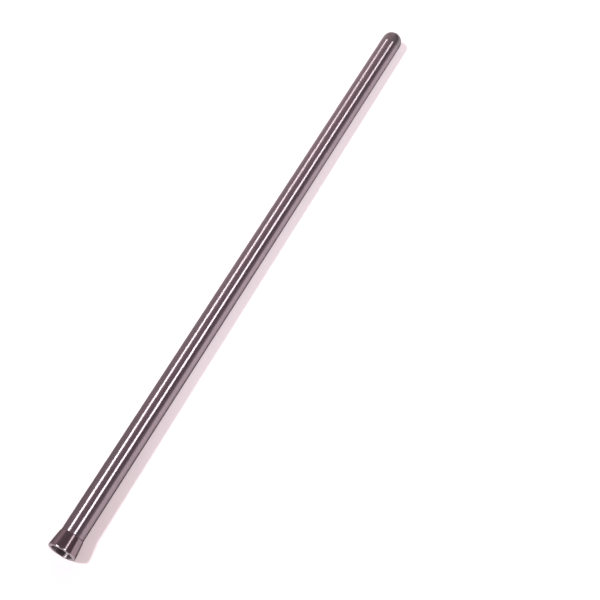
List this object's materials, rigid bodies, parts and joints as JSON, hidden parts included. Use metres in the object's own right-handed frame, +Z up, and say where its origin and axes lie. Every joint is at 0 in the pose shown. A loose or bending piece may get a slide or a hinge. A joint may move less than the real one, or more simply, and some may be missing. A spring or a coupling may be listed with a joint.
{
  "type": "engine pushrod",
  "caption": "Slim solid steel pushrod with a flared cup at one end and a ball at the other, which carries the lift of a tappet to a rocker arm.",
  "frame": {"origin": "on the bench, under the middle of the lying rod", "axes": "+X along the rod from the cup end to the ball end, +Z up from the bench, +Y across"},
  "size_m": [0.296, 0.0116, 0.0116],
  "materials": {
    "ground_steel": "dark ground and polished steel"
  },
  "bodies": {
    "root": {"pushrod": "ground_steel"}
  },
  "joints": []
}
